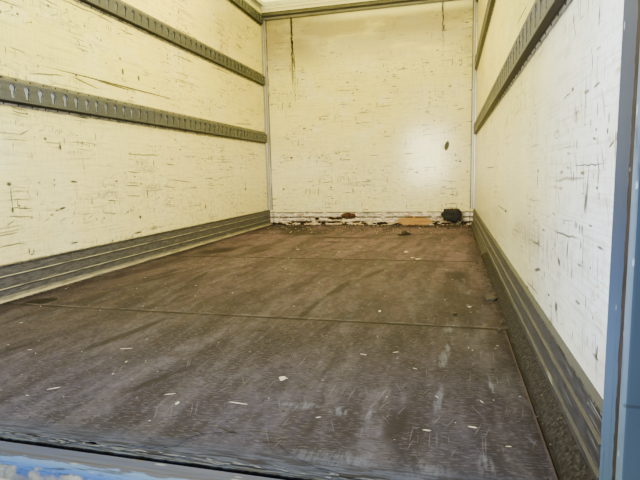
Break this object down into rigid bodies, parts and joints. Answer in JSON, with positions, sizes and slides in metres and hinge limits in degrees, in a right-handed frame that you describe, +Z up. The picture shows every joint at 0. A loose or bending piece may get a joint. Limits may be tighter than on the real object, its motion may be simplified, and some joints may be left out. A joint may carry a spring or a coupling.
{
  "type": "van box body",
  "caption": "Load box of a box van: ribbed kick strips, keyhole lashing rails, ply floor, translucent roof and rear doors that fold back along the sides.",
  "frame": {"origin": "centre of the whole box, folded doors included, on the plane under the runners", "axes": "+X to the right seen from the rear doors, +Y forward to the bulkhead, +Z up"},
  "size_m": [2.314, 4.334, 2.414],
  "materials": {
    "liner_board": "cream-white resin-faced board, scuffed, speckled and streaked with dirt",
    "outer_skin": "white gel-coated outer skin, lightly weathered",
    "lower_band": "battered lower boards, paint worn off to torn ply at their foot",
    "floor_ply": "brown film-faced plywood, worn along its length, chipped and splintered",
    "kick_alloy": "mill aluminium, dull, dirty, scuffed along its ridges",
    "lash_steel": "galvanised steel, grey-green, dusty in its corners",
    "trim_alloy": "mill aluminium, lightly oxidised",
    "rail_alloy": "mill aluminium edge rails, weathered",
    "frame_steel": "blue-grey painted steel, chipped, rusty along its rear edges",
    "sill_steel": "grey painted steel worn to bright metal on its nose",
    "underframe_steel": "black painted steel, road dust",
    "bearer_steel": "galvanised steel bearers, dusty",
    "roof_sheet": "translucent ribbed plastic roof sheet, yellowed",
    "gear_steel": "zinc-plated locking bars, hinges and brackets, dull"
  },
  "bodies": {
    "box": {"cross_bearers": "bearer_steel", "runner_left": "underframe_steel", "runner_right": "underframe_steel", "bottom_rail_left": "rail_alloy", "bottom_rail_right": "rail_alloy", "bottom_rail_front": "rail_alloy", "cant_rail_left": "rail_alloy", "cant_rail_right": "rail_alloy", "front_top_rail": "rail_alloy", "front_corner_post_left": "rail_alloy", "front_corner_post_right": "rail_alloy", "roof_bows": "rail_alloy", "floor_sheet_rear": "floor_ply", "floor_sheet_second": "floor_ply", "floor_sheet_third": "floor_ply", "floor_sheet_front": "floor_ply", "floor_strip_rear_right": "floor_ply", "side_wall_left": "liner_board", "side_wall_right": "liner_board", "bulkhead_board_left": "liner_board", "bulkhead_board_middle": "liner_board", "bulkhead_board_right": "liner_board", "bulkhead_lower_band": "lower_band", "bulkhead_skin": "outer_skin", "kick_strip_left": "kick_alloy", "kick_strip_right": "kick_alloy", "lash_rail_lower_left": "lash_steel", "lash_rail_lower_right": "lash_steel", "lash_rail_middle_left": "lash_steel", "lash_rail_middle_right": "lash_steel", "lash_rail_upper_left": "lash_steel", "lash_rail_upper_right": "lash_steel", "corner_trim_left": "trim_alloy", "corner_trim_right": "trim_alloy", "bulkhead_header_rail": "trim_alloy", "roof_sheet": "roof_sheet", "rear_post_left": "frame_steel", "rear_post_right": "frame_steel", "rear_header": "frame_steel", "rear_sill": "sill_steel", "hinge_brackets_left": "gear_steel", "hinge_brackets_right": "gear_steel", "lock_keepers": "gear_steel"},
    "door_left": {"door_panel_left": "outer_skin", "door_frame_left": "rail_alloy", "door_straps_left": "gear_steel", "locking_gear_left": "gear_steel"},
    "door_right": {"door_panel_right": "outer_skin", "door_frame_right": "rail_alloy", "door_straps_right": "gear_steel", "locking_gear_right": "gear_steel"}
  },
  "joints": [
    {"name": "door_right_hinge", "type": "hinge", "parent": "box", "child": "door_right", "pos_m": [1.082, -2.153, 1.266], "axis": [0, 0, 1], "range_deg": [-270, 0]},
    {"name": "door_left_hinge", "type": "hinge", "parent": "box", "child": "door_left", "pos_m": [-1.082, -2.153, 1.266], "axis": [0, 0, 1], "range_deg": [0, 270]}
  ]
}
